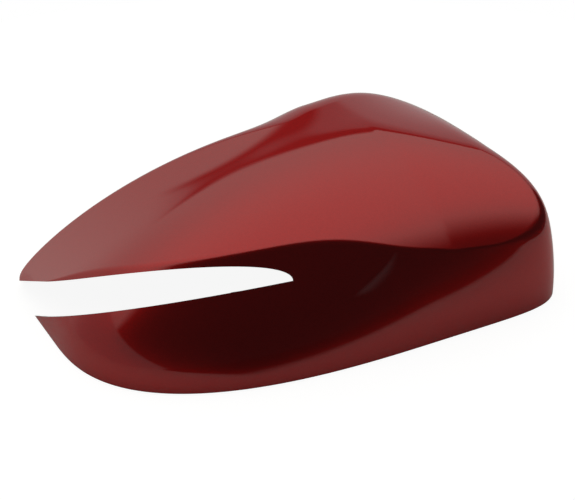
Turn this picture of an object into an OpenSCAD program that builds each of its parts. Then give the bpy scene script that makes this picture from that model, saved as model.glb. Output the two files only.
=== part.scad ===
// Wing mirror cover: a one-piece moulded cap with an open slot for a side lamp.
// It lies rim down on the plane z = 0, with the crown upward. +X runs from the
// outboard end, where the slot opens, to the inboard end, and -Y is the side with the slot.

/* [Rim outline] */
// Reach of the rim from the pole axis to the outboard end
rim_outboard = 155; // [140:0.5:170]
// Reach of the rim from the pole axis to the inboard end
rim_inboard = 81; // [72:0.5:95]
// Reach of the rim from the pole axis to the slot side
rim_front = 83.5; // [76:0.5:92]
// Reach of the rim from the pole axis to the back side
rim_back = 68; // [62:0.5:76]
// Squareness of the corner between the slot side and the outboard end
corner_front_out = 2.7; // [2.3:0.1:3.5]
// Squareness of the corner between the slot side and the inboard end
corner_front_in = 6.7; // [4:0.1:8]
// Squareness of the corner between the back side and the inboard end
corner_back_in = 3.2; // [2.4:0.1:4.5]
// Squareness of the corner between the back side and the outboard end
corner_back_out = 8.6; // [5:0.1:10]

/* [Side walls] */
// Height at which the leans of the side walls are measured
lean_height = 60; // [50:1:70]
// Lean of the outboard wall, inward at the lean height
lean_outboard = 43.5; // [36:0.5:50]
// Lean of the front wall toward the outboard end
lean_front_out = 22.5; // [16:0.5:28]
// Lean of the front wall toward the inboard end
lean_front_in = 10.5; // [7:0.5:18]
// Lean of the inboard wall
lean_inboard = 10; // [6:0.5:18]
// Lean of the back wall
lean_back = 12; // [8:0.5:20]

/* [Crown] */
// Height of the crown at its peak
crown_height = 71; // [66:0.5:78]
// Distance of the peak from the outboard end
peak_from_end = 168.5; // [158:0.5:176]
// Distance of the peak from the slot side
peak_from_front = 99; // [92:0.5:106]
// Distance from the peak at which the drops and twists are measured
fall_reach = 100; // [90:1:110]
// Drop of the crown outboard of the peak, at the fall reach
drop_outboard = 19; // [16:0.5:22]
// Power of the outboard drop
curve_outboard = 1.96; // [1.8:0.01:2.2]
// Drop of the crown inboard of the peak, at the fall reach
drop_inboard = 43; // [30:1:52]
// Power of the inboard drop
curve_inboard = 2.03; // [1.8:0.01:2.4]
// Drop of the crown in front of the peak, at the fall reach
drop_front = 39; // [34:0.5:44]
// Power of the front drop
curve_front = 3; // [2.6:0.05:3.4]
// Twist of the crown over its outboard part, lower toward the back
twist_outboard = 21; // [17:0.5:24]
// Power of the outboard twist
twist_curve = 1.24; // [1.1:0.01:1.5]
// Twist of the crown over its inboard part, lower toward the back
twist_inboard = 48; // [30:1:56]
// Height that the crown keeps over the rim at the outboard tip
tip_height = 2; // [1:0.25:4]

/* [Crease] */
// Angle round the pole axis at which the crease starts, at the outboard tip
crease_start = 174; // [166:1:178]
// Angle at which the crease begins to soften toward the inboard end
crease_end = 294; // [280:1:300]
// Angle over which the crease fades out past the tip
fade_back = 78; // [60:1:90]
// Angle over which the crease softens toward the inboard end
fade_front = 47; // [36:1:64]
// Softness of the crease, as a share of the height there
crease_soft = 0.03; // [0.02:0.01:0.1]
// Softness of the rounded shoulder, as a share of the height there
shoulder_soft = 0.97; // [0.7:0.01:0.98]

/* [Moulding] */
// Thickness of the wall
wall = 2.5; // [2:0.1:3]
// Thickness of the thinned lip along the rim
lip_wall = 1.5; // [1:0.1:1.8]
// Height of the thinned lip
lip_height = 3; // [2:0.5:5]

/* [Lamp slot] */
// Direction in plan along which the slot is cut
slot_yaw = -28; // [-34:1:-22]
// Angle above the horizontal from which the slot is cut
slot_pitch = 31; // [26:1:38]
// Reach of the slot inward from the outboard end
slot_reach = 71; // [60:1:85]
// Width of the slot at its mouth
slot_width = 16.3; // [12:0.1:19]
// Length over which the slot narrows to its rounded tip
slot_taper = 95; // [70:1:120]
// Height of the lower edge of the slot at its mouth, square to the cut
slot_sill = 49.7; // [47:0.1:54]
// Climb of the lower edge from the mouth to the tip
slot_climb = 17.1; // [12:0.1:20]
// Power of the climb
slot_curve = 1.3; // [1:0.05:1.8]
// Distance past the outboard end at which the climb starts
slot_mouth = 44; // [38:1:50]

/* [Snap hooks] */
// Number of snap hooks along the back and inboard walls
hook_count = 6; // [3:1:8]
// Angle of the first hook
hook_first = -68; // [-75:1:-60]
// Angle of the last hook
hook_last = 138; // [125:1:142]
// Width of a hook
hook_width = 10; // [7:0.5:14]
// Thickness of a hook arm
hook_arm = 2; // [1.5:0.1:3]
// Gap between a hook arm and the rim
hook_gap = 4; // [3:0.1:6]
// Height of the foot of a hook over the rim
hook_foot = 3.5; // [2:0.1:5]
// Length of a hook arm
hook_length = 17; // [13:0.5:22]
// Depth of the barb of a hook
hook_barb = 1.8; // [1:0.1:3]
// Height of the barb of a hook
hook_barb_height = 4; // [3:0.5:6]

/* [Locating pins] */
// Diameter of a locating pin
pin_diameter = 7; // [5:0.5:10]
// Height of the free end of a pin over the rim
pin_foot = 14; // [8:1:24]
// Distance of the pins to either side of the pole axis
pin_spread = 52; // [40:1:60]
// Width of the gussets of a pin
gusset_width = 17; // [12:1:24]
// Thickness of gussets and ribs
rib_wall = 1.6; // [1.2:0.1:2.2]
// Height of the gussets over the free end of a pin
gusset_foot = 16; // [10:1:24]

/* [Stiffening ribs] */
// Number of ribs across the underside of the crown
rib_count = 4; // [2:1:6]
// Depth of a rib
rib_depth = 5; // [3:0.5:8]
// Distance of the first rib from the outboard end
rib_start = 66; // [50:1:80]
// Spacing of the ribs
rib_pitch = 38; // [30:1:42]

/* [Hidden] */
outer_columns = 92;
inner_columns = 60;
wall_rows = 5;
fold_rows = 4;
crown_rows = 7;
over = 1;
paint = [0.55, 0.07, 0.08];
pole_x = (rim_outboard - rim_inboard) / 2;
pole_y = (rim_front - rim_back) / 2;
end_x = pole_x - rim_outboard;
front_y = pole_y - rim_front;
peak_x = end_x + peak_from_end;
peak_y = front_y + peak_from_front;

function mix(a, b, t) = a + (b - a) * t;
function ease(t) = let (c = min(1, max(0, t))) c * c * (3 - 2 * c);
function inboard_share(a) = (1 + cos(a)) / 2;

// Angle of column i of n; the columns lie closer together round the outboard end
function column_angle(i, n) =
    let (t = 360 * i / n, a = atan2(rim_front * sin(t), rim_outboard * cos(t)))
    a < 0 ? a + 360 : a;

// Distance from the pole axis to the rim at angle a, drawn in by an inset
function reach(a, inset) =
    let (rx = (cos(a) < 0 ? rim_outboard : rim_inboard) - inset,
         ry = (sin(a) < 0 ? rim_front : rim_back) - inset,
         front_n = cos(a) < 0 ? corner_front_out : corner_front_in,
         back_n = cos(a) < 0 ? corner_back_out : corner_back_in,
         n = sin(a) < 0 ? front_n : back_n)
    pow(pow(abs(cos(a)) / rx, n) + pow(abs(sin(a)) / ry, n), -1 / n);

// Inward lean of the side wall at angle a, at the lean height
function lean(a) =
    let (end_lean = cos(a) < 0 ? lean_outboard : lean_inboard,
         front_lean = mix(lean_front_out, lean_front_in, inboard_share(a)),
         side_lean = sin(a) < 0 ? front_lean : lean_back)
    pow(cos(a), 2) * end_lean + pow(sin(a), 2) * side_lean;

// The same lean for a wall drawn in by an inset, square to the leaning wall
function inset_lean(a, inset) =
    let (slope = 2 * lean(a) / lean_height)
    lean(a) + inset * (sqrt(1 + slope * slope) - 1);

// Height of the crown surface over the point [x, y]
function crown(x, y) =
    let (u = (x - peak_x) / fall_reach,
         v = (y - peak_y) / fall_reach,
         ends = u < 0 ? drop_outboard * pow(-u, curve_outboard) : drop_inboard * pow(u, curve_inboard),
         front = drop_front * pow(max(-v, 0), curve_front),
         twist = u < 0 ? twist_outboard * pow(-u, twist_curve) : twist_inboard * u * u,
         h = crown_height - ends - front - twist * v)
    (h + sqrt(h * h + 4 * tip_height * tip_height)) / 2;

// The same surface lowered by an inset, square to the surface
function inset_crown(x, y, inset) =
    let (sx = (crown(x + over, y) - crown(x - over, y)) / (2 * over),
         sy = (crown(x, y + over) - crown(x, y - over)) / (2 * over))
    max(crown(x, y) - inset * sqrt(1 + sx * sx + sy * sy), tip_height / 4);

// Softness of the edge between side wall and crown at angle a
function softness(a) =
    let (b = a < crease_start - 100 ? a + 360 : a,
         t = max((crease_start - b) / fade_back, (b - crease_end) / fade_front))
    mix(crease_soft, shoulder_soft, ease(t));

// Height of the blended skin, as a share of the crown, where the wall would reach share r
function blended(r, soft) = min(r, 1) - soft / 6 * pow(max(1 - abs(r - 1) / soft, 0), 3);

// Plan position at angle a; t runs from 0 at the rim to 1 at the pole axis
function plan(a, inset, t) = reach(a, inset) * (1 - t * t) * [cos(a), sin(a)] + [pole_x, pole_y];

// Height that the leaning wall would have there, as a share of the crown
function wall_share(a, inset, t) =
    let (p = plan(a, inset, t),
         d = inset_lean(a, inset),
         q = d / (reach(a, inset) - d))
    lean_height * t / sqrt(q * (1 - t * t)) / inset_crown(p.x, p.y, inset);

// Point of the skin at angle a
function skin_point(a, inset, t) =
    let (p = plan(a, inset, t),
         h = inset_crown(p.x, p.y, inset))
    [p.x, p.y, h * blended(wall_share(a, inset, t), softness(a))];

// Value of t at which the wall reaches a given share of the crown
function find_share(a, inset, share, low = 0, high = 0.9999, steps = 18) =
    let (t = (low + high) / 2)
    steps == 0 ? t
    : wall_share(a, inset, t) < share ? find_share(a, inset, share, t, high, steps - 1)
    : find_share(a, inset, share, low, t, steps - 1);

// One column of the skin, with a row of points that follows the crease
function column(a, inset) =
    let (soft = softness(a),
         t0 = find_share(a, inset, 1 - soft),
         t1 = find_share(a, inset, 1),
         t2 = find_share(a, inset, 1 + soft))
    [for (i = [0 : wall_rows - 1]) skin_point(a, inset, t0 * i / wall_rows),
     for (i = [0 : fold_rows - 1]) skin_point(a, inset, mix(t0, t1, i / fold_rows)),
     for (i = [0 : fold_rows - 1]) skin_point(a, inset, mix(t1, t2, i / fold_rows)),
     for (i = [0 : crown_rows - 1]) skin_point(a, inset, mix(t2, 1, i / crown_rows))];

// Solid under the skin, drawn in by an inset and lengthened below the rim by a foot
module skin(inset, foot) {
    skirts = foot > 0 ? 1 : 0;
    n = inset > 0 ? inner_columns : outer_columns;
    sides = [for (i = [0 : n - 1])
        let (side = column(column_angle(i, n), inset))
        foot > 0 ? concat([[side[0].x, side[0].y, -foot]], side) : side];
    rows = wall_rows + 2 * fold_rows + crown_rows + skirts;
    pole = n * rows;
    points = concat(
        [for (side = sides) each side],
        [[pole_x, pole_y, inset_crown(pole_x, pole_y, inset)]]);
    faces = concat(
        [[for (i = [0 : n - 1]) i * rows]],
        [for (i = [0 : n - 1])
            let (k = (i + 1) % n)
            each [for (j = [0 : rows - 2])
                each [[i * rows + j, i * rows + j + 1, k * rows + j + 1],
                      [i * rows + j, k * rows + j + 1, k * rows + j]]]],
        [for (i = [0 : n - 1])
            [i * rows + rows - 1, pole, (i + 1) % n * rows + rows - 1]]);
    polyhedron(points, faces, convexity = 6);
}

// Outline of the slot, square to the cut and measured from the front outboard corner
function slot_low(s) = slot_sill + slot_climb * pow(max(s + slot_mouth, 0) / (slot_reach + slot_mouth), slot_curve);
function slot_gap(s) =
    let (d = min(1, (slot_reach - s) / slot_taper))
    slot_width * sqrt(1 - pow(1 - d, 2));
slot_steps = 24;
function slot_station(i) = slot_reach - (slot_reach + 2 * slot_mouth) * pow(i / slot_steps, 2);

module slot_outline() {
    stations = [for (i = [0 : slot_steps]) slot_station(i)];
    polygon([
        for (s = stations) [s, slot_low(s)],
        for (i = [slot_steps : -1 : 1]) let (s = stations[i]) [s, slot_low(s) + slot_gap(s)]]);
}

module slot_cutter() {
    translate([end_x, front_y, 0])
        rotate([90 - slot_pitch, 0, slot_yaw])
            translate([0, 0, -rim_front - rim_back])
                linear_extrude(rim_front + rim_back + rim_outboard)
                    slot_outline();
}

// Places its children at the rim at angle a, with local +X pointing square into the cap
module at_rim(a) {
    p0 = plan(a - over, wall, 0);
    p1 = plan(a + over, wall, 0);
    turn = atan2(p1.y - p0.y, p1.x - p0.x) + 90;
    p = plan(a, wall, 0);
    translate([p.x, p.y, 0]) rotate([0, 0, turn]) children();
}

// One snap hook: an arm hung from a bridge on the wall, with a barb at its foot
module hook() {
    top = hook_foot + hook_length;
    translate([hook_gap, -hook_width / 2, 0]) {
        hull() {
            translate([0, 0, hook_foot]) cube([hook_arm * 0.8, hook_width, over]);
            translate([0, 0, top]) cube([hook_arm, hook_width, over]);
        }
        hull() {
            translate([0, 0, hook_foot]) cube([hook_arm, hook_width, over / 4]);
            translate([0, 0, hook_foot + hook_barb_height / 2])
                cube([hook_arm + hook_barb, hook_width, over]);
            translate([0, 0, hook_foot + hook_barb_height]) cube([hook_arm, hook_width, over / 4]);
        }
    }
    for (side = [-1, 1])
        translate([0, side * (hook_width - rib_wall) / 2 - rib_wall / 2, 0])
            hull() {
                translate([-wall, 0, top - hook_length / 4]) cube([over, rib_wall, hook_length / 2]);
                translate([hook_gap, 0, top - hook_length / 4]) cube([hook_arm, rib_wall, over]);
                translate([hook_gap, 0, top]) cube([hook_arm, rib_wall, over]);
            }
}

// One locating pin with crossed gussets, standing from the underside of the crown
module pin() {
    translate([0, 0, pin_foot]) cylinder(h = crown_height, d = pin_diameter, $fn = 24);
    translate([0, 0, pin_foot]) mirror([0, 0, 1])
        cylinder(h = pin_diameter / 3, d1 = pin_diameter, d2 = pin_diameter / 2, $fn = 24);
    for (turn = [0, 90])
        rotate([0, 0, turn])
            translate([-gusset_width / 2, -rib_wall / 2, pin_foot + gusset_foot])
                cube([gusset_width, rib_wall, crown_height]);
}

module ribs() {
    difference() {
        for (i = [0 : rib_count - 1])
            translate([end_x + rib_start + i * rib_pitch, front_y, 0])
                cube([rib_wall, rim_front + rim_back, crown_height]);
        skin(wall + rib_depth, over);
    }
}

// Room inside the thinned lip that runs along the rim
module lip() {
    intersection() {
        skin(lip_wall, over);
        translate([end_x, front_y, -over])
            cube([rim_outboard + rim_inboard, rim_front + rim_back, over + lip_height]);
    }
}

module mirror_cover() {
    color(paint)
        difference() {
            union() {
                difference() {
                    skin(0, 0);
                    skin(wall, over);
                }
                intersection() {
                    skin(wall / 2, 0);
                    union() {
                        for (i = [0 : hook_count - 1])
                            at_rim(mix(hook_first, hook_last, i / (hook_count - 1))) hook();
                        for (side = [-1, 1]) translate([pole_x + side * pin_spread, pole_y, 0]) pin();
                        ribs();
                    }
                }
            }
            lip();
            slot_cutter();
        }
}

mirror_cover();
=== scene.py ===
"""Wing mirror cover: a one-piece painted cap with an open slot for a side lamp.

The cap lies rim down on a pale floor, as the packed frame holds it. All sizes are in metres.
Angles of the rim are measured round the pole axis, a vertical line through the middle of the cap.
"""

import math

import bpy
import numpy as np
from bpy.props import FloatProperty, FloatVectorProperty, IntProperty, PointerProperty
from mathutils import Matrix, Vector


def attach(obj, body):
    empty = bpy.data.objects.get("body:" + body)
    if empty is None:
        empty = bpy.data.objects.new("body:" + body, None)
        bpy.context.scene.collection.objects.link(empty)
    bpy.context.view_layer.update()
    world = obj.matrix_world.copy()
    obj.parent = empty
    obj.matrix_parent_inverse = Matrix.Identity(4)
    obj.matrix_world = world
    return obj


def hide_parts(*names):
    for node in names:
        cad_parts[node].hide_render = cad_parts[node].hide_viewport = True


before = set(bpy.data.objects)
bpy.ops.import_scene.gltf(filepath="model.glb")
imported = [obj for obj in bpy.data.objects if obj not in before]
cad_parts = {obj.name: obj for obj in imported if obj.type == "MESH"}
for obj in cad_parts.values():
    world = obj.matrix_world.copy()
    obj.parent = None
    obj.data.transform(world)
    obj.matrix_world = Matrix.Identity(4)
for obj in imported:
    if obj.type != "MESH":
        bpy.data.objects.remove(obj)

bl_info = {
    "name": "Wing Mirror Cover",
    "version": (1, 0, 0),
    "blender": (4, 5, 0),
    "location": "3D Viewport > Sidebar > Mirror Cover",
    "description": "Builds a painted wing mirror cover with a lamp slot, and a studio for it",
    "category": "Object",
}

CAD_NODE = "mirror_cover"
BODY = "root"
SKIN_ZONE, RIM_ZONE, INNER_ZONE, CUT_ZONE = range(4)
OUTER_COLUMNS, CORE_COLUMNS = 480, 160
OUTER_ROWS, INNER_ROWS, CORE_ROWS = (18, 8, 8, 34), (12, 5, 5, 20), (12, 5, 5, 16)
SMOOTH_ANGLE, BEVEL_ANGLE = math.radians(35), math.radians(40)
HOOK_ROUND, PIN_ROUND = 0.0002, 0.0003
LINE_SOFT, EDGE_SOFT, WALL_SOFT = 0.006, 0.01, 0.04


# Properties


def length(name, description, default):
    """A length that a user can change, in metres."""
    return FloatProperty(name=name, description=description, default=default,
                         subtype="DISTANCE", unit="LENGTH", precision=4)


def turn(name, description, degrees):
    """An angle that a user can change."""
    return FloatProperty(name=name, description=description, default=math.radians(degrees),
                         subtype="ANGLE", unit="ROTATION")


def number(name, description, default):
    """A plain number that a user can change."""
    return FloatProperty(name=name, description=description, default=default, precision=3)


def share(name, description, default):
    """A share from 0 to 1 that a user can change."""
    return FloatProperty(name=name, description=description, default=default,
                         min=0, max=1, subtype="FACTOR")


def count(name, description, default):
    """A number of like things that a user can change."""
    return IntProperty(name=name, description=description, default=default, min=1)


def colour(name, description, default):
    """A colour that a user can change."""
    return FloatVectorProperty(name=name, description=description, default=default,
                               size=3, min=0, max=1, subtype="COLOR")


class ShellSizes(bpy.types.PropertyGroup):
    """Sizes of the outer skin."""
    rim_outboard: length("Rim outboard", "Reach of the rim from the pole axis to the outboard end", 0.155)
    rim_inboard: length("Rim inboard", "Reach of the rim from the pole axis to the inboard end", 0.081)
    rim_front: length("Rim front", "Reach of the rim from the pole axis to the slot side", 0.0835)
    rim_back: length("Rim back", "Reach of the rim from the pole axis to the back side", 0.068)
    corner_front_out: number("Front outboard corner", "Squareness of this corner of the rim", 2.7)
    corner_front_in: number("Front inboard corner", "Squareness of this corner of the rim", 6.7)
    corner_back_in: number("Back inboard corner", "Squareness of this corner of the rim", 3.2)
    corner_back_out: number("Back outboard corner", "Squareness of this corner of the rim", 8.6)
    lean_height: length("Lean height", "Height at which the leans of the walls are measured", 0.06)
    lean_outboard: length("Outboard lean", "Lean of the outboard wall", 0.0435)
    lean_front_out: length("Front lean, outboard", "Lean of the front wall toward the outboard end", 0.0225)
    lean_front_in: length("Front lean, inboard", "Lean of the front wall toward the inboard end", 0.0105)
    lean_inboard: length("Inboard lean", "Lean of the inboard wall", 0.01)
    lean_back: length("Back lean", "Lean of the back wall", 0.012)
    crown_height: length("Crown height", "Height of the crown at its peak", 0.071)
    peak_from_end: length("Peak from end", "Distance of the peak from the outboard end", 0.1685)
    peak_from_front: length("Peak from front", "Distance of the peak from the slot side", 0.099)
    fall_reach: length("Fall reach", "Distance from the peak at which the drops are measured", 0.1)
    drop_outboard: length("Outboard drop", "Drop of the crown outboard of the peak", 0.019)
    curve_outboard: number("Outboard curve", "Power of the outboard drop", 1.96)
    drop_inboard: length("Inboard drop", "Drop of the crown inboard of the peak", 0.043)
    curve_inboard: number("Inboard curve", "Power of the inboard drop", 2.03)
    drop_front: length("Front drop", "Drop of the crown in front of the peak", 0.039)
    curve_front: number("Front curve", "Power of the front drop", 3)
    twist_outboard: length("Outboard twist", "Twist of the crown over its outboard part", 0.021)
    twist_curve: number("Twist curve", "Power of the outboard twist", 1.24)
    twist_inboard: length("Inboard twist", "Twist of the crown over its inboard part", 0.048)
    tip_height: length("Tip height", "Height that the crown keeps at the outboard tip", 0.002)
    crease_start: turn("Crease start", "Angle at which the crease starts", 174)
    crease_end: turn("Crease end", "Angle at which the crease begins to soften", 294)
    fade_back: turn("Back fade", "Angle over which the crease fades out past the tip", 78)
    fade_front: turn("Front fade", "Angle over which the crease softens inboard", 47)
    crease_soft: share("Crease softness", "Softness of the crease, as a share of the height", 0.03)
    shoulder_soft: share("Shoulder softness", "Softness of the rounded shoulder", 0.97)
    wall: length("Wall", "Thickness of the wall", 0.0025)
    lip_wall: length("Lip wall", "Thickness of the thinned lip along the rim", 0.0015)
    lip_height: length("Lip height", "Height of the thinned lip", 0.003)
    edge_round: length("Edge rounding", "Radius of the edges of the rim", 0.0003)


class SlotSizes(bpy.types.PropertyGroup):
    """Sizes of the lamp slot."""
    yaw: turn("Yaw", "Direction in plan along which the slot is cut", -28)
    pitch: turn("Pitch", "Angle above the horizontal from which the slot is cut", 31)
    reach: length("Reach", "Reach of the slot inward from the outboard end", 0.071)
    width: length("Width", "Width of the slot at its mouth", 0.0163)
    taper: length("Taper", "Length over which the slot narrows to its tip", 0.095)
    sill: length("Sill", "Height of the lower edge at the mouth, square to the cut", 0.0497)
    climb: length("Climb", "Climb of the lower edge from the mouth to the tip", 0.0171)
    curve: number("Curve", "Power of the climb", 1.3)
    mouth: length("Mouth", "Distance past the outboard end at which the climb starts", 0.044)


class InsideSizes(bpy.types.PropertyGroup):
    """Sizes of the hooks, pins and ribs under the crown."""
    hook_count: count("Hooks", "Number of snap hooks", 6)
    hook_first: turn("First hook", "Angle of the first hook", -68)
    hook_last: turn("Last hook", "Angle of the last hook", 138)
    hook_width: length("Hook width", "Width of a hook", 0.01)
    hook_arm: length("Hook arm", "Thickness of a hook arm", 0.002)
    hook_gap: length("Hook gap", "Gap between a hook arm and the rim", 0.004)
    hook_foot: length("Hook foot", "Height of the foot of a hook over the rim", 0.0035)
    hook_length: length("Hook length", "Length of a hook arm", 0.017)
    hook_barb: length("Hook barb", "Depth of the barb", 0.0018)
    hook_barb_height: length("Barb height", "Height of the barb", 0.004)
    pin_diameter: length("Pin diameter", "Diameter of a locating pin", 0.007)
    pin_foot: length("Pin foot", "Height of the free end of a pin over the rim", 0.014)
    pin_spread: length("Pin spread", "Distance of the pins from the pole axis", 0.052)
    gusset_width: length("Gusset width", "Width of the gussets of a pin", 0.017)
    gusset_foot: length("Gusset foot", "Height of the gussets over the free end of a pin", 0.016)
    rib_wall: length("Rib wall", "Thickness of gussets and ribs", 0.0016)
    rib_count: count("Ribs", "Number of ribs across the underside of the crown", 4)
    rib_depth: length("Rib depth", "Depth of a rib", 0.005)
    rib_start: length("First rib", "Distance of the first rib from the outboard end", 0.066)
    rib_pitch: length("Rib pitch", "Spacing of the ribs", 0.038)


class PaintLook(bpy.types.PropertyGroup):
    """Colours and finish of the paint and of the bare plastic."""
    base: colour("Paint", "Colour of the metal flakes of the paint", (0.39, 0.006, 0.005))
    deep: colour("Deep paint", "Colour of the paint between its flakes", (0.33, 0.004, 0.004))
    sheen: colour("Grazing colour", "Colour that the flakes turn to at a grazing angle", (1.0, 0.3, 0.28))
    roughness: share("Paint roughness", "Roughness of the layer under the lacquer", 0.33)
    metallic: share("Metallic", "How metallic the paint is", 0.9)
    flake_size: length("Flake size", "Spacing of the metal flakes", 0.00035)
    flake_tilt: share("Flake tilt", "How strongly the flakes are tilted", 0.05)
    lacquer_roughness: share("Lacquer roughness", "Roughness of the clear lacquer", 0.02)
    lacquer_ior: number("Lacquer index", "Refractive index of the clear lacquer", 1.5)
    plastic: colour("Plastic", "Colour of the bare plastic inside", (0.018, 0.018, 0.019))
    worn_plastic: colour("Pale plastic", "Colour of the paler grains of the plastic", (0.030, 0.030, 0.031))
    plastic_roughness: share("Plastic roughness", "Roughness of the bare plastic", 0.5)
    grain_size: length("Grain size", "Spacing of the grains of the moulded surface", 0.0007)
    grain_depth: share("Grain depth", "Depth of the moulded grain", 0.25)
    overspray: length("Overspray", "Height over the rim to which the paint has drifted", 0.012)
    cloud_size: length("Cloud size", "Size of the clouds of the overspray", 0.009)


class StudioLook(bpy.types.PropertyGroup):
    """Floor, light and camera."""
    camera_turn: turn("Camera turn", "Direction of the camera round the cap", -28.304)
    camera_rise: turn("Camera rise", "Height of the camera over the horizon", 31)
    camera_distance: length("Camera distance", "Distance of the camera from its target", 0.7)
    camera_lens: number("Lens", "Focal length in millimetres", 96.18)
    target: FloatVectorProperty(name="Target", description="Point that the camera looks at", size=3,
                                default=(-0.01691, -0.03247, 0.04), subtype="TRANSLATION")
    shift_x: number("Shift across", "Shift of the picture across", -0.0009)
    shift_y: number("Shift up", "Shift of the picture upward", 0.0078)
    floor_reach: length("Floor reach", "Distance from the cap to the edge of the floor", 0.42)
    floor_shade: share("Floor", "Brightness of the floor under the light", 0.85)
    floor_shadow: share("Shadow", "Strength of the shadow that the camera sees", 0.2)
    floor_white: share("White floor", "Brightness of the unshaded floor that the camera sees", 0.92)
    # Past these edges the floor is painted as dark as the room: painted shade, seen only in the cap's
    # reflections.
    table_shade_edge: length("Table edge", "Distance from the target to the near edge of the pale table", 0.072)
    table_shade_left: length("Table's left edge", "Distance from the target to the slanted edge on the left", 0.053)
    table_shade_slant: number("Table slant", "Run of the slanted edge toward the camera over its run across", 1.95)
    table_shade_fade: length("Table fade", "Width over which the edge of the table fades", 0.012)
    softbox: number("Softbox", "Brightness of the large soft light overhead", 0.95)
    softbox_low: number("Low softbox", "Brightness of the softbox toward its far edge", 0.55)
    low_height: number("Low height", "Height up to which the softbox is dim, as a sine", 0.2)
    full_height: number("Full height", "Height from which it is at full strength, as a sine", 0.85)
    softbox_tint: colour("Softbox tint", "Colour of the softbox", (1.0, 0.985, 0.93))
    softbox_turn: turn("Softbox turn", "Turn of its front edge against the camera's horizon", 17)
    softbox_start: turn("Softbox start", "Angle over the horizon at which the softbox fades in", 66)
    softbox_full: turn("Softbox full", "Angle over the horizon at which it is at full strength", 82)
    softbox_edge: number("Far edge", "Height of the far edge of the softbox, as a sine", 0.495)
    softbox_bow: number("Far edge bow", "How far the far edge bows down to the left", 1.38)
    gap: number("Gap", "Height of the dark gap under the far edge, as a sine", 0.024)
    gap_narrow: number("Narrow gap", "Height of the gap toward the left, as a sine", 0.01)
    gap_narrows: number("Gap narrows", "Place across at which the gap begins to narrow, as a sine", -0.08)
    gap_narrowed: number("Gap narrowed", "Place across at which it is narrow, as a sine", -0.22)
    gap_left: number("Gap end", "Place across at which the gap has faded out, as a sine", -0.43)
    backdrop: number("Backdrop", "Brightness of the low backdrop behind the cap", 0.5)
    backdrop_high: number("High backdrop", "Brightness of the backdrop just under the gap", 0.25)
    room: number("Room", "Brightness of the dark room on the camera's side", 0.03)
    side_wall: number("Side wall", "Brightness of the pale wall to the left", 0.36)
    side_wall_start: number("Side wall start", "Place across of its edge at the horizon, as a sine", 0.27)
    side_wall_slant: number("Side wall slant", "Run of the edge of the wall to the left over its rise", 1.5)
    wall_end: number("Side wall end", "Place behind the cap at which the wall begins to fade, as a sine", 0.1)
    window: number("Window", "Brightness of the small window in the dark room", 0.5)
    window_slope: number("Window slope", "Slope of the window's long sides", -1.73)
    window_height: number("Window height", "Height of the window straight ahead, as a sine", 1.377)
    window_half: number("Window half", "Half the height of the window, as a sine", 0.012)
    window_left: number("Window left", "Place across of its left end, as a sine", 0.66)
    window_right: number("Window right", "Place across of its right end, as a sine", 0.71)
    right_room: number("Right room", "Place across at which the dark room on the right starts", 0.62)
    right_height: number("Right room height", "Height of the room on the right, as a sine", 0.6)
    mirrored: share("Mirrored white", "Share of the white background that gloss and glass show", 0.02)


# Surface of the cap, from the same rules as the packed model


def pole(s):
    """Place of the pole axis in plan; the cap's box is centred on the origin."""
    return (s.rim_outboard - s.rim_inboard) / 2, (s.rim_front - s.rim_back) / 2


def reach(s, a, inset):
    """Distance from the pole axis to the rim at angle a, drawn in by an inset."""
    out, front = np.cos(a) < 0, np.sin(a) < 0
    along = np.where(out, s.rim_outboard, s.rim_inboard) - inset
    across = np.where(front, s.rim_front, s.rim_back) - inset
    corner = np.where(front, np.where(out, s.corner_front_out, s.corner_front_in),
                      np.where(out, s.corner_back_out, s.corner_back_in))
    return ((np.abs(np.cos(a)) / along) ** corner + (np.abs(np.sin(a)) / across) ** corner) ** (-1 / corner)


def lean(s, a, inset):
    """Inward lean of the side wall at angle a, square to the wall where it is drawn in."""
    end = np.where(np.cos(a) < 0, s.lean_outboard, s.lean_inboard)
    inboard = (1 + np.cos(a)) / 2
    front = s.lean_front_out + (s.lean_front_in - s.lean_front_out) * inboard
    side = np.where(np.sin(a) < 0, front, s.lean_back)
    outer = np.cos(a) ** 2 * end + np.sin(a) ** 2 * side
    return outer + inset * (np.sqrt(1 + (2 * outer / s.lean_height) ** 2) - 1)


def crown(s, x, y):
    """Height of the crown over a point."""
    pole_x, pole_y = pole(s)
    u = (x - pole_x + s.rim_outboard - s.peak_from_end) / s.fall_reach
    v = (y - pole_y + s.rim_front - s.peak_from_front) / s.fall_reach
    out = np.maximum(-u, 0)
    inward = np.maximum(u, 0)
    ends = s.drop_outboard * out ** s.curve_outboard + s.drop_inboard * inward ** s.curve_inboard
    front = s.drop_front * np.maximum(-v, 0) ** s.curve_front
    twist = (s.twist_outboard * out ** s.twist_curve + s.twist_inboard * inward ** 2) * v
    h = s.crown_height - ends - front - twist
    return (h + np.sqrt(h * h + 4 * s.tip_height ** 2)) / 2


def inset_crown(s, x, y, inset):
    """The crown lowered by an inset, square to its surface."""
    step = 0.001
    slope_x = (crown(s, x + step, y) - crown(s, x - step, y)) / (2 * step)
    slope_y = (crown(s, x, y + step) - crown(s, x, y - step)) / (2 * step)
    low = crown(s, x, y) - inset * np.sqrt(1 + slope_x ** 2 + slope_y ** 2)
    return np.maximum(low, s.tip_height / 4)


def softness(s, a):
    """Softness of the edge between wall and crown at angle a."""
    first = s.crease_start - math.radians(100)
    b = np.mod(a - first, 2 * math.pi) + first
    away = np.maximum((s.crease_start - b) / s.fade_back, (b - s.crease_end) / s.fade_front)
    away = np.clip(away, 0, 1)
    return s.crease_soft + (s.shoulder_soft - s.crease_soft) * away ** 2 * (3 - 2 * away)


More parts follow.
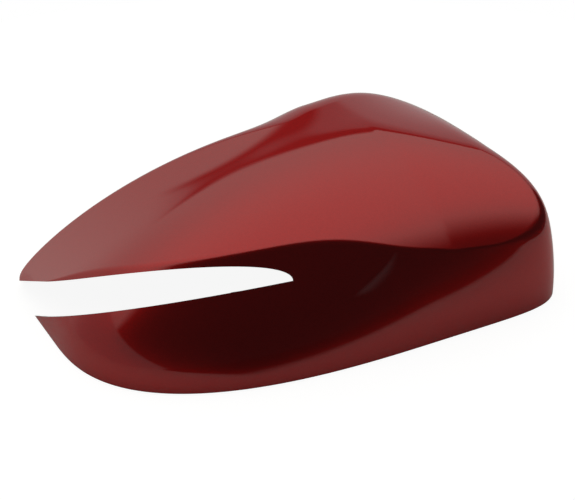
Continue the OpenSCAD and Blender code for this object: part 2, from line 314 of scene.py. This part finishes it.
def wall_share(s, a, inset, t):
    """Plan position, crown height there, and height of the wall as a share of it; t is 0 at the rim."""
    pole_x, pole_y = pole(s)
    rim = reach(s, a, inset)
    x = pole_x + rim * (1 - t * t) * np.cos(a)
    y = pole_y + rim * (1 - t * t) * np.sin(a)
    leaning = lean(s, a, inset)
    slope = np.sqrt(np.maximum(leaning / (rim - leaning) * (1 - t * t), 1e-12))
    top = inset_crown(s, x, y, inset)
    return x, y, top, s.lean_height * t / slope / top


def skin(s, a, inset, t):
    """Points of the skin at angle a, drawn in by an inset; t runs from 0 at the rim to 1 at the pole."""
    x, y, top, r = wall_share(s, a, inset, t)
    soft = softness(s, a)
    height = np.minimum(r, 1) - soft / 6 * np.maximum(1 - np.abs(r - 1) / soft, 0) ** 3
    return np.stack([x, y, top * height], axis=-1)


def search(a, not_reached):
    """Values of t, one for each angle, at which a rising quantity is reached."""
    low, high = np.zeros_like(a), np.full_like(a, 0.9999)
    for _ in range(30):
        t = (low + high) / 2
        below = not_reached(t)
        low, high = np.where(below, t, low), np.where(below, high, t)
    return (low + high) / 2


def find_share(s, a, inset, wanted):
    """Value of t at which the wall reaches a share of the crown."""
    return search(a, lambda t: wall_share(s, a, inset, t)[3] < wanted)


def find_height(s, a, inset, z):
    """Value of t at which a skin passes a height over the rim."""
    return search(a, lambda t: skin(s, a, inset, t)[:, 2] < z)


def column_angles(s, columns):
    """Angles of the columns, closer together at both ends of the cap; the last repeats the first."""
    a = np.linspace(0, 2 * math.pi, columns + 1)
    return np.unwrap(np.arctan2(s.rim_front * np.sin(a), s.rim_outboard * np.cos(a)))


def skin_rows(s, a, inset, foot, counts):
    """Rows of points of a skin from a foot height to the pole; the rows follow the crease."""
    soft = softness(s, a)
    start = find_height(s, a, inset, foot)
    marks = [start]
    for wanted in (1 - soft, 1 + 0 * a, 1 + soft):
        marks.append(np.maximum(find_share(s, a, inset, wanted), marks[-1] + 1e-4))
    marks.append(np.ones_like(a))
    rows = []
    for low, high, n in zip(marks, marks[1:], counts):
        rows += [skin(s, a, inset, low + (high - low) * i / n) for i in range(n)]
    return rows + [skin(s, a, inset, marks[-1])]


def skin_normals(s, points, inset):
    """Outward directions of a skin at points on it."""
    pole_x, pole_y = pole(s)
    x, y = points[:, 0] - pole_x, points[:, 1] - pole_y
    a = np.arctan2(y, x)
    t = np.sqrt(np.clip(1 - np.hypot(x, y) / reach(s, a, inset), 0, 1))
    step = 1e-5
    t = np.clip(t, step, 1 - 1e-3)
    along = skin(s, a + step, inset, t) - skin(s, a - step, inset, t)
    up = skin(s, a, inset, t + step) - skin(s, a, inset, t - step)
    normals = np.cross(along, up)
    return normals / np.linalg.norm(normals, axis=1)[:, None]


# Mesh helpers


def start_fresh():
    """Leaves edit mode and deselects everything."""
    if bpy.context.object and bpy.context.object.mode != "OBJECT":
        bpy.ops.object.mode_set(mode="OBJECT")
    bpy.ops.object.select_all(action="DESELECT")


def pick(piece):
    """Makes one piece the only selected and active one."""
    start_fresh()
    piece.select_set(True)
    bpy.context.view_layer.objects.active = piece


def folded_grid(name, points):
    """A primitive grid folded onto rows of points, and closed where they meet."""
    rows, columns = points.shape[:2]
    start_fresh()
    bpy.ops.mesh.primitive_grid_add(x_subdivisions=columns - 1, y_subdivisions=rows - 1, size=1)
    piece = bpy.context.object
    piece.name = piece.data.name = name
    flat = np.empty(rows * columns * 3)
    piece.data.vertices.foreach_get("co", flat)
    place = flat.reshape(-1, 3)
    i = np.rint((place[:, 0] + 0.5) * (columns - 1)).astype(int)
    j = np.rint((place[:, 1] + 0.5) * (rows - 1)).astype(int)
    piece.data.vertices.foreach_set("co", points[j, i].ravel())
    return piece


def close_seams(piece, distance=1e-6):
    """Merges the points that meet, and turns the faces outward."""
    pick(piece)
    bpy.ops.object.mode_set(mode="EDIT")
    bpy.ops.mesh.select_all(action="SELECT")
    bpy.ops.mesh.remove_doubles(threshold=distance)
    bpy.ops.mesh.normals_make_consistent(inside=False)
    bpy.ops.object.mode_set(mode="OBJECT")


def extruded(name, outline, way):
    """A closed solid: a flat outline of points, drawn out along a way."""
    start_fresh()
    bpy.ops.mesh.primitive_circle_add(vertices=len(outline), radius=1, fill_type="NGON")
    piece = bpy.context.object
    piece.name = piece.data.name = name
    for vertex, point in zip(piece.data.vertices, outline):
        vertex.co = point
    bpy.ops.object.mode_set(mode="EDIT")
    bpy.ops.mesh.select_all(action="SELECT")
    bpy.ops.mesh.extrude_region_move(TRANSFORM_OT_translate={"value": way})
    bpy.ops.object.mode_set(mode="OBJECT")
    close_seams(piece)
    return piece


def bevel_edges(piece, width):
    """Rounds every sharp edge of a piece."""
    apply_modifier(piece, "Edges", "BEVEL", width=width, segments=2, limit_method="ANGLE",
                   angle_limit=BEVEL_ANGLE)


def apply_modifier(piece, name, kind, **settings):
    """Adds a modifier and applies it."""
    pick(piece)
    modifier = piece.modifiers.new(name, kind)
    for key, value in settings.items():
        setattr(modifier, key, value)
    bpy.ops.object.modifier_apply(modifier=name)


def combine(piece, other, operation):
    """Joins a piece with another solid, cuts it by the other or keeps what both share."""
    apply_modifier(piece, "Combine", "BOOLEAN", object=other, operation=operation, solver="MANIFOLD")
    bpy.data.objects.remove(other)


def join(name, pieces):
    """Makes several pieces one object."""
    start_fresh()
    for piece in pieces:
        piece.select_set(True)
    bpy.context.view_layer.objects.active = pieces[0]
    if len(pieces) > 1:
        bpy.ops.object.join()
    pieces[0].name = pieces[0].data.name = name
    return pieces[0]


def copies(pattern, places):
    """Copies of a pattern, each with its own mesh, moved by a matrix; the pattern itself goes."""
    made = []
    for place in places:
        piece = bpy.data.objects.new(pattern.name, pattern.data.copy())
        bpy.context.scene.collection.objects.link(piece)
        piece.data.transform(place)
        made.append(piece)
    bpy.data.objects.remove(pattern)
    return made


def core(s, inset):
    """Closed solid under the skin, drawn in by an inset."""
    a = column_angles(s, CORE_COLUMNS)
    pole_x, pole_y = pole(s)
    base = np.zeros((len(a), 3)) + (pole_x, pole_y, 0)
    solid = folded_grid("core", np.stack([base] + skin_rows(s, a, inset, 0, CORE_ROWS)))
    close_seams(solid)
    return solid


def slot_cutter(s, p):
    """Prism of the lamp slot, along the direction in which the slot is cut."""
    i = np.linspace(0, 1, 161)
    along = p.reach - (p.reach + 2 * p.mouth) * i ** 2
    low = p.sill + p.climb * (np.maximum(along + p.mouth, 0) / (p.reach + p.mouth)) ** p.curve
    narrow = np.minimum(1, (p.reach - along) / p.taper)
    gap = p.width * np.sqrt(1 - (1 - narrow) ** 2)
    outline = np.concatenate([np.stack([along, low], 1), np.stack([along, low + gap], 1)[:0:-1]])
    pole_x, pole_y = pole(s)
    across = Vector((math.cos(p.yaw), math.sin(p.yaw), 0))
    back = Vector((math.sin(p.yaw) * math.cos(p.pitch), -math.cos(p.yaw) * math.cos(p.pitch),
                   math.sin(p.pitch)))
    rise = back.cross(across)
    depth = s.rim_front + s.rim_back
    start = Vector((pole_x - s.rim_outboard, pole_y - s.rim_front, 0)) - back * depth
    points = [start + across * x + rise * y for x, y in outline]
    return extruded("slot_cutter", points, back * (depth + s.rim_outboard))


def rim_place(s, a):
    """Matrix that sets a pattern at the rim at angle a, with its X axis pointing into the cap."""
    pole_x, pole_y = pole(s)
    ends = [reach(s, a + step, s.wall) * np.array([math.cos(a + step), math.sin(a + step)])
            for step in (math.radians(-1), 0, math.radians(1))]
    rim_way = ends[2] - ends[0]
    turned = math.atan2(rim_way[1], rim_way[0]) + math.pi / 2
    return Matrix.Translation((pole_x + ends[1][0], pole_y + ends[1][1], 0)) @ Matrix.Rotation(turned, 4, "Z")


def finish_inside(piece, s, p, look):
    """Trims a piece to the inside of the cap, cuts the slot through it and gives it its material."""
    combine(piece, core(s, s.wall / 2), "INTERSECT")
    combine(piece, slot_cutter(s, p), "DIFFERENCE")
    close_seams(piece)
    bpy.ops.object.shade_smooth_by_angle(angle=SMOOTH_ANGLE)
    piece.data.materials.clear()
    piece.data.materials.append(plastic_material(look))
    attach(piece, BODY)


# Shaders


def node(tree, kind, inputs, **settings):
    """A node with its settings, and its inputs by name or number, as values or as sockets to link."""
    made = tree.nodes.new(kind)
    for key, value in settings.items():
        setattr(made, key, value)
    for key, value in inputs.items():
        if isinstance(value, bpy.types.NodeSocket):
            tree.links.new(value, made.inputs[key])
        else:
            made.inputs[key].default_value = value
    return made


def reckon(tree, operation, *values):
    """Result of a Math node."""
    return node(tree, "ShaderNodeMath", dict(enumerate(values)), operation=operation).outputs[0]


def spread(tree, value, low, high, at_low=0.0, at_high=1.0):
    """A value spread softly from one range over another."""
    limits = {"Value": value, "From Min": low, "From Max": high, "To Min": at_low, "To Max": at_high}
    return node(tree, "ShaderNodeMapRange", limits, interpolation_type="SMOOTHSTEP").outputs["Result"]


def blend(tree, share_of_b, a, b):
    """A mix of two colours."""
    inputs = {0: share_of_b, 6: a, 7: b}
    return node(tree, "ShaderNodeMix", inputs, data_type="RGBA").outputs[2]


def grey(value):
    """A grey colour."""
    return (value, value, value, 1)


def fine_grain():
    """Shader group: shade and height of small random grains."""
    found = bpy.data.node_groups.get("Fine grain")
    if found:
        return found
    group = bpy.data.node_groups.new("Fine grain", "ShaderNodeTree")
    group.interface.new_socket(name="Vector", in_out="INPUT", socket_type="NodeSocketVector")
    size = group.interface.new_socket(name="Grain size", in_out="INPUT", socket_type="NodeSocketFloat")
    size.default_value = 0.001
    group.interface.new_socket(name="Shade", in_out="OUTPUT", socket_type="NodeSocketFloat")
    group.interface.new_socket(name="Height", in_out="OUTPUT", socket_type="NodeSocketFloat")
    given = group.nodes.new("NodeGroupInput").outputs
    result = group.nodes.new("NodeGroupOutput").inputs
    scale = reckon(group, "DIVIDE", 1.0, given["Grain size"])
    cells = node(group, "ShaderNodeTexVoronoi", {"Vector": given["Vector"], "Scale": scale})
    parts = node(group, "ShaderNodeSeparateColor", {"Color": cells.outputs["Color"]})
    group.links.new(parts.outputs["Red"], result["Shade"])
    group.links.new(parts.outputs["Green"], result["Height"])
    return group


def grained(name, grain_size, depth):
    """A new material with fine grain: its tree, shader, place and shade of the grain."""
    material = bpy.data.materials.new(name)
    material.use_nodes = True
    tree = material.node_tree
    shader = tree.nodes["Principled BSDF"]
    place = node(tree, "ShaderNodeTexCoord", {}).outputs["Object"]
    grain = node(tree, "ShaderNodeGroup", {}, node_tree=fine_grain())
    tree.links.new(place, grain.inputs["Vector"])
    grain.inputs["Grain size"].default_value = grain_size
    bump = node(tree, "ShaderNodeBump",
                {"Strength": depth, "Distance": grain_size, "Height": grain.outputs["Height"]})
    tree.links.new(bump.outputs["Normal"], shader.inputs["Normal"])
    return material, tree, shader, place, grain.outputs["Shade"]


def paint_material(look):
    """Metallic paint under a clear lacquer."""
    found = bpy.data.materials.get("metallic_paint")
    if found:
        return found
    material, tree, shader, _, shade = grained("metallic_paint", look.flake_size, look.flake_tilt)
    tree.links.new(blend(tree, shade, (*look.deep, 1), (*look.base, 1)), shader.inputs["Base Color"])
    shader.inputs["Metallic"].default_value = look.metallic
    shader.inputs["Roughness"].default_value = look.roughness
    shader.inputs["Specular Tint"].default_value = (*look.sheen, 1)
    shader.inputs["Coat Weight"].default_value = 1
    shader.inputs["Coat Roughness"].default_value = look.lacquer_roughness
    shader.inputs["Coat IOR"].default_value = look.lacquer_ior
    return material


def plastic_material(look):
    """Bare moulded plastic, with paint that has drifted in along the rim."""
    found = bpy.data.materials.get("bare_plastic")
    if found:
        return found
    material, tree, shader, place, shade = grained("bare_plastic", look.grain_size, look.grain_depth)
    bare = blend(tree, shade, (*look.plastic, 1), (*look.worn_plastic, 1))
    height = node(tree, "ShaderNodeSeparateXYZ", {"Vector": place}).outputs["Z"]
    clouds = node(tree, "ShaderNodeTexNoise",
                  {"Vector": place, "Scale": 1 / look.cloud_size, "Detail": 4.0})
    drift = reckon(tree, "MULTIPLY", clouds.outputs[0], 2 * look.overspray)
    mist = spread(tree, height, 0.0, drift, 0.85, 0.0)
    tree.links.new(blend(tree, mist, bare, (*look.deep, 1)), shader.inputs["Base Color"])
    shader.inputs["Roughness"].default_value = look.plastic_roughness
    return material


# Operators


class MIRRORCOVER_OT_shell(bpy.types.Operator):
    """Make the painted shell with its lip and lamp slot"""
    bl_idname = "mirror_cover.shell"
    bl_label = "Shell"

    def execute(self, context):
        s, p, look = context.scene.cover_shell, context.scene.cover_slot, context.scene.cover_paint
        a = column_angles(s, OUTER_COLUMNS)
        outer = skin_rows(s, a, 0, s.edge_round, OUTER_ROWS)
        lip = lip_rows(s, a)
        inner = skin_rows(s, a, s.wall, s.lip_height, INNER_ROWS)
        points = np.stack(outer[::-1] + lip + inner)
        shell = folded_grid("cover_shell", points)
        row = np.arange(len(shell.data.polygons)) // (points.shape[1] - 1)
        zones = np.where(row < len(outer) - 1, SKIN_ZONE,
                         np.where(row < len(outer) + len(lip), RIM_ZONE, INNER_ZONE))
        paint, plastic = paint_material(look), plastic_material(look)
        for material in (paint, paint, plastic, paint):
            shell.data.materials.append(material)
        shell.data.polygons.foreach_set("material_index", zones.astype(np.int32))
        close_seams(shell)
        cutter = slot_cutter(s, p)
        for material in shell.data.materials:
            cutter.data.materials.append(material)
        for face in cutter.data.polygons:
            face.material_index = CUT_ZONE
        combine(shell, cutter, "DIFFERENCE")
        shade_shell(shell, s)
        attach(shell, BODY)
        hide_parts(CAD_NODE)
        return {"FINISHED"}


def lip_rows(s, a):
    """Rows round the rounded rim and up the inner face of the thinned lip."""
    pole_x, pole_y = pole(s)
    r = s.edge_round
    quarter = np.linspace(0, math.pi / 2, 4)
    places = [(r * (1 - math.cos(t)), r * (1 - math.sin(t))) for t in quarter[1:]]
    places += [(s.lip_wall - r * (1 - math.cos(t)), r * (1 - math.sin(t))) for t in quarter[:0:-1]]
    rows = []
    for inset, height in places:
        rim = reach(s, a, inset)
        rows.append(np.stack([pole_x + rim * np.cos(a), pole_y + rim * np.sin(a),
                              np.full_like(a, height)], -1))
    rows += [skin(s, a, s.lip_wall, find_height(s, a, s.lip_wall, z))
             for z in np.linspace(r, s.lip_height, 4)]
    return rows


def shade_shell(shell, s):
    """Smooth shading that follows the two skins exactly, with crisp cut edges."""
    pick(shell)
    bpy.ops.object.shade_smooth_by_angle(angle=SMOOTH_ANGLE)
    mesh = shell.data
    zone = np.empty(len(mesh.polygons), np.int32)
    mesh.polygons.foreach_get("material_index", zone)
    sizes = np.empty(len(mesh.polygons), np.int32)
    mesh.polygons.foreach_get("loop_total", sizes)
    corner_zone = np.repeat(zone, sizes)
    vertex = np.empty(len(mesh.loops), np.int32)
    mesh.loops.foreach_get("vertex_index", vertex)
    points = np.empty(len(mesh.vertices) * 3)
    mesh.vertices.foreach_get("co", points)
    points = points.reshape(-1, 3)
    normals = np.empty(len(mesh.loops) * 3, np.float32)
    mesh.corner_normals.foreach_get("vector", normals)
    normals = normals.reshape(-1, 3)
    for which, inset, side in ((SKIN_ZONE, 0, 1), (INNER_ZONE, s.wall, -1)):
        corners = corner_zone == which
        normals[corners] = side * skin_normals(s, points[vertex[corners]], inset)
    mesh.normals_split_custom_set(normals.tolist())


class MIRRORCOVER_OT_hooks(bpy.types.Operator):
    """Make the snap hooks along the back and inboard walls"""
    bl_idname = "mirror_cover.hooks"
    bl_label = "Snap hooks"

    def execute(self, context):
        s, p, look = context.scene.cover_shell, context.scene.cover_slot, context.scene.cover_paint
        h = context.scene.cover_inside
        tip = h.hook_gap + h.hook_arm
        barb = tip + h.hook_barb
        top = h.hook_foot + h.hook_length
        foot = h.hook_foot
        step = 0.001  # rise of the ledge over the barb and of the shoulders of arm and bridge
        arm = [(h.hook_gap, foot), (tip, foot), (barb, foot + h.hook_barb_height / 2),
               (barb, foot + h.hook_barb_height / 2 + step), (tip, foot + h.hook_barb_height + step / 4),
               (tip, top + step), (h.hook_gap, top + step)]
        low, high = top - h.hook_length / 4, top + h.hook_length / 4
        bridge = [(-s.wall, low), (tip, low), (tip, top + step), (step - s.wall, high), (-s.wall, high)]
        hook = extruded("snap_hook", [(x, -h.hook_width / 2, z) for x, z in arm], (0, h.hook_width, 0))
        bevel_edges(hook, HOOK_ROUND)
        for y in (-h.hook_width / 2, h.hook_width / 2 - h.rib_wall):
            web = extruded("bridge", [(x, y, z) for x, z in bridge], (0, h.rib_wall, 0))
            combine(hook, web, "UNION")
        angles = np.linspace(h.hook_first, h.hook_last, h.hook_count)
        hooks = join("snap_hooks", copies(hook, [rim_place(s, a) for a in angles]))
        finish_inside(hooks, s, p, look)
        return {"FINISHED"}


class MIRRORCOVER_OT_pins(bpy.types.Operator):
    """Make the locating pins with their crossed gussets"""
    bl_idname = "mirror_cover.pins"
    bl_label = "Locating pins"

    def execute(self, context):
        s, p, look = context.scene.cover_shell, context.scene.cover_slot, context.scene.cover_paint
        h = context.scene.cover_inside
        radius = h.pin_diameter / 2
        start_fresh()
        bpy.ops.mesh.primitive_cylinder_add(vertices=48, radius=radius, depth=s.crown_height,
                                            location=(0, 0, h.pin_foot + s.crown_height / 2))
        pin = bpy.context.object
        pin.name = "locating_pin"
        bpy.ops.object.transform_apply(location=True, rotation=True, scale=True)
        bpy.ops.object.mode_set(mode="EDIT")
        bpy.ops.mesh.select_all(action="DESELECT")
        bpy.ops.object.mode_set(mode="OBJECT")
        for face in pin.data.polygons:
            face.select = face.normal.z < -0.5
        bpy.ops.object.mode_set(mode="EDIT")
        bpy.ops.mesh.extrude_region_move(TRANSFORM_OT_translate={"value": (0, 0, -h.pin_diameter / 3)})
        bpy.ops.transform.resize(value=(0.5, 0.5, 1), center_override=(0, 0, h.pin_foot - h.pin_diameter / 3))
        bpy.ops.object.mode_set(mode="OBJECT")
        bevel_edges(pin, PIN_ROUND)
        low = h.pin_foot + h.gusset_foot
        wide, thin = h.gusset_width / 2, h.rib_wall / 2
        for x, y in ((wide, thin), (thin, wide)):
            outline = [(-x, -y, low), (x, -y, low), (x, y, low), (-x, y, low)]
            combine(pin, extruded("gusset", outline, (0, 0, s.crown_height)), "UNION")
        pole_x, pole_y = pole(s)
        places = [Matrix.Translation((pole_x + side * h.pin_spread, pole_y, 0)) for side in (-1, 1)]
        finish_inside(join("locating_pins", copies(pin, places)), s, p, look)
        return {"FINISHED"}


class MIRRORCOVER_OT_ribs(bpy.types.Operator):
    """Make the stiffening ribs under the crown"""
    bl_idname = "mirror_cover.ribs"
    bl_label = "Stiffening ribs"

    def execute(self, context):
        s, p, look = context.scene.cover_shell, context.scene.cover_slot, context.scene.cover_paint
        h = context.scene.cover_inside
        pole_x, pole_y = pole(s)
        front, back = pole_y - s.rim_front, pole_y + s.rim_back
        outline = [(0, front, s.lip_height), (0, back, s.lip_height),
                   (0, back, s.crown_height), (0, front, s.crown_height)]
        rib = extruded("stiffening_rib", outline, (h.rib_wall, 0, 0))
        first = pole_x - s.rim_outboard + h.rib_start
        places = [Matrix.Translation((first + i * h.rib_pitch, 0, 0)) for i in range(h.rib_count)]
        ribs = join("stiffening_ribs", copies(rib, places))
        combine(ribs, core(s, s.wall + h.rib_depth), "DIFFERENCE")
        finish_inside(ribs, s, p, look)
        return {"FINISHED"}


class MIRRORCOVER_OT_studio(bpy.types.Operator):
    """Make the floor, the light and the camera"""
    bl_idname = "mirror_cover.studio"
    bl_label = "Studio"

    def execute(self, context):
        look = context.scene.cover_studio
        make_floor(look)
        make_world(look)
        make_camera(look)
        context.scene.view_settings.view_transform = "Standard"
        return {"FINISHED"}


def seen_white(tree, look):
    """Share of the white background: all for the camera, a little in gloss and glass."""
    path = node(tree, "ShaderNodeLightPath", {}).outputs
    gloss = reckon(tree, "MAXIMUM", path["Is Glossy Ray"], path["Is Transmission Ray"])
    return reckon(tree, "MAXIMUM", path["Is Camera Ray"], reckon(tree, "MULTIPLY", gloss, look.mirrored))


def camera_way(look):
    """Level way from the cap toward the camera."""
    return math.sin(look.camera_turn), -math.cos(look.camera_turn), 0


def toward(tree, vector, way):
    """How far a vector reaches along a way."""
    return node(tree, "ShaderNodeVectorMath", {0: vector, 1: way}, operation="DOT_PRODUCT").outputs["Value"]


def within(tree, value, low, high, soft):
    """1 where a value lies between two limits, with soft ends."""
    return reckon(tree, "MULTIPLY", spread(tree, value, low - soft, low + soft),
                  spread(tree, value, high - soft, high + soft, 1.0, 0.0))


def make_floor(look):
    """Pale floor; the camera sees it white, with the soft shadow of the cap. For light and reflections, the
    floor past the table's edges is painted as dark as the room: painted shade.
    """
    start_fresh()
    bpy.ops.mesh.primitive_circle_add(vertices=128, radius=look.floor_reach, fill_type="NGON",
                                      location=(look.target[0], look.target[1], -0.0002))
    floor = bpy.context.object
    floor.name = floor.data.name = "floor"
    bpy.ops.object.transform_apply(location=True, rotation=True, scale=True)
    material = bpy.data.materials.new("pale_floor")
    material.use_nodes = True
    tree = material.node_tree
    tree.nodes.clear()
    place = node(tree, "ShaderNodeTexCoord", {}).outputs["Object"]
    from_target = node(tree, "ShaderNodeVectorMath", {0: place, 1: look.target}, operation="SUBTRACT")
    near_way = camera_way(look)
    left_way = Vector(near_way) + look.table_shade_slant * Vector((-near_way[1], near_way[0], 0))
    # Mask of the painted shade: past both edges of the pale table, the floor that light and reflections see
    # is painted as dark as the room.
    painted_room_shade = 1.0
    for way, edge in ((near_way, look.table_shade_edge), (left_way, look.table_shade_left)):
        over = toward(tree, from_target.outputs["Vector"], way)
        beyond = spread(tree, over, edge - look.table_shade_fade, edge + look.table_shade_fade)
        painted_room_shade = reckon(tree, "MULTIPLY", painted_room_shade, beyond)
    floor_with_painted_shade = blend(tree, painted_room_shade, grey(look.floor_shade), grey(look.room))
    lit = node(tree, "ShaderNodeBsdfDiffuse", {"Color": floor_with_painted_shade})
    shade = node(tree, "ShaderNodeBsdfDiffuse", {"Color": grey(look.floor_shadow)})
    white = node(tree, "ShaderNodeEmission", {"Color": grey(look.floor_white), "Strength": 1.0})
    seen = node(tree, "ShaderNodeAddShader", {0: shade.outputs[0], 1: white.outputs[0]})
    mixed = node(tree, "ShaderNodeMixShader",
                 {0: seen_white(tree, look), 1: lit.outputs[0], 2: seen.outputs[0]})
    node(tree, "ShaderNodeOutputMaterial", {"Surface": mixed.outputs[0]})
    floor.data.materials.append(material)


def low_light(look):
    """Colour of the softbox toward its far edge."""
    return (*(c * look.softbox_low for c in look.softbox_tint), 1)


def light_behind(tree, look, aside, up):
    """Beyond the cap: the softbox down to its bowed far edge, a dark gap, and a low backdrop."""
    full_light = (*(c * look.softbox for c in look.softbox_tint), 1)
    softbox = blend(tree, spread(tree, up, look.low_height, look.full_height),
                    low_light(look), full_light)
    left = reckon(tree, "MINIMUM", aside, 0.0)
    dip = reckon(tree, "MULTIPLY", reckon(tree, "MULTIPLY", left, left), look.softbox_bow)
    over_edge = reckon(tree, "SUBTRACT", reckon(tree, "ADD", up, dip), look.softbox_edge)
    gap_height = spread(tree, aside, look.gap_narrowed, look.gap_narrows, look.gap_narrow, look.gap)
    over_gap = reckon(tree, "ADD", over_edge, gap_height)
    gap_fade = spread(tree, aside, look.gap_left, look.gap_left + 0.1)
    low = blend(tree, spread(tree, over_gap, -0.08, 0.0), grey(look.backdrop), grey(look.backdrop_high))
    low = blend(tree, gap_fade, low_light(look), low)
    behind = blend(tree, spread(tree, over_edge, -EDGE_SOFT, EDGE_SOFT), low, softbox)
    gap = reckon(tree, "MULTIPLY", spread(tree, over_gap, -LINE_SOFT, LINE_SOFT),
                 spread(tree, over_edge, -LINE_SOFT, LINE_SOFT, 1.0, 0.0))
    gap = reckon(tree, "MULTIPLY", gap, gap_fade)
    return blend(tree, gap, behind, grey(look.room))


def light_before(tree, look, aside, up):
    """On the camera's side: a dark room with one small window."""
    along = reckon(tree, "SUBTRACT", up, reckon(tree, "MULTIPLY", aside, look.window_slope))
    half = look.window_half
    pane = reckon(tree, "MULTIPLY",
                  within(tree, along, look.window_height - half, look.window_height + half, half / 2),
                  within(tree, aside, look.window_left, look.window_right, EDGE_SOFT))
    return blend(tree, pane, grey(look.room), grey(look.window))


def softbox_front(tree, look, place, up):
    """1 beyond the front edge of the softbox and below the horizon behind the cap, 0 in the room."""
    x, y, _ = camera_way(look)
    c, s = math.cos(look.softbox_turn), math.sin(look.softbox_turn)
    angle = reckon(tree, "ARCTAN2", up, toward(tree, place, (x * c - y * s, y * c + x * s, 0)))
    below = reckon(tree, "LESS_THAN", angle, -math.pi / 2)
    return reckon(tree, "MAXIMUM", spread(tree, angle, look.softbox_start, look.softbox_full), below)


def make_world(look):
    """White for the camera; for the light, a softbox overhead in a dark room with pale walls."""
    world = bpy.data.worlds.new("studio")
    bpy.context.scene.world = world
    world.use_nodes = True
    tree = world.node_tree
    tree.nodes.clear()
    place = node(tree, "ShaderNodeTexCoord", {}).outputs["Generated"]
    near_way = camera_way(look)
    near = toward(tree, place, near_way)
    aside = toward(tree, place, (-near_way[1], near_way[0], 0))
    up = toward(tree, place, (0, 0, 1))

    around = blend(tree, softbox_front(tree, look, place, up),
                   light_before(tree, look, aside, up), light_behind(tree, look, aside, up))
    slanted = reckon(tree, "ADD", reckon(tree, "MULTIPLY", up, look.side_wall_slant), aside)
    wall_edge = -look.side_wall_start
    wall = spread(tree, slanted, wall_edge - WALL_SOFT, wall_edge + WALL_SOFT, 1.0, 0.0)
    wall = reckon(tree, "MULTIPLY", wall, spread(tree, near, -4 * look.wall_end, -look.wall_end))
    around = blend(tree, wall, around, grey(look.side_wall))
    right = reckon(tree, "MULTIPLY", spread(tree, aside, look.right_room, look.right_room + 0.08),
                   spread(tree, up, look.right_height - 0.1, look.right_height, 1.0, 0.0))
    around = blend(tree, right, around, grey(look.room))

    studio = node(tree, "ShaderNodeBackground", {"Color": around, "Strength": 1.0})
    white = node(tree, "ShaderNodeBackground", {"Color": grey(1), "Strength": 1.0})
    mixed = node(tree, "ShaderNodeMixShader",
                 {0: seen_white(tree, look), 1: studio.outputs[0], 2: white.outputs[0]})
    node(tree, "ShaderNodeOutputWorld", {"Surface": mixed.outputs[0]})


def make_camera(look):
    """Camera at the photograph's angle."""
    rise = look.camera_rise
    back = Vector(camera_way(look)) * math.cos(rise) + Vector((0, 0, math.sin(rise)))
    data = bpy.data.cameras.new("camera")
    camera = bpy.data.objects.new("camera", data)
    bpy.context.scene.collection.objects.link(camera)
    camera.location = Vector(look.target) + back * look.camera_distance
    camera.rotation_euler = back.to_track_quat("Z", "Y").to_euler()
    data.lens = look.camera_lens
    data.shift_x, data.shift_y = look.shift_x, look.shift_y
    data.clip_start, data.clip_end = 0.01, 20
    bpy.context.scene.camera = camera


# Panel and registration


GROUPS = {"cover_shell": ShellSizes, "cover_slot": SlotSizes, "cover_inside": InsideSizes,
          "cover_paint": PaintLook, "cover_studio": StudioLook}


class MIRRORCOVER_PT_sidebar(bpy.types.Panel):
    """Lists the steps and the sizes"""
    bl_idname = "MIRRORCOVER_PT_sidebar"
    bl_label = "Mirror Cover"
    bl_space_type = "VIEW_3D"
    bl_region_type = "UI"
    bl_category = "Mirror Cover"

    def draw(self, context):
        steps = self.layout.column(align=True)
        for cls in OPERATORS:
            steps.operator(cls.bl_idname)
        for name, group in GROUPS.items():
            box = self.layout.box()
            box.label(text=group.__doc__)
            for key in group.__annotations__:
                box.prop(getattr(context.scene, name), key)


OPERATORS = (MIRRORCOVER_OT_shell, MIRRORCOVER_OT_hooks, MIRRORCOVER_OT_pins, MIRRORCOVER_OT_ribs,
             MIRRORCOVER_OT_studio)
CLASSES = (*GROUPS.values(), *OPERATORS, MIRRORCOVER_PT_sidebar)


def register():
    for cls in CLASSES:
        bpy.utils.register_class(cls)
    for name, group in GROUPS.items():
        setattr(bpy.types.Scene, name, PointerProperty(type=group))


def unregister():
    for name in GROUPS:
        delattr(bpy.types.Scene, name)
    for cls in reversed(CLASSES):
        bpy.utils.unregister_class(cls)


def main():
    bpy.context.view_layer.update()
    register()
    bpy.ops.mirror_cover.shell()
    bpy.ops.mirror_cover.hooks()
    bpy.ops.mirror_cover.pins()
    bpy.ops.mirror_cover.ribs()
    bpy.ops.mirror_cover.studio()


if __name__ == "__main__":
    main()
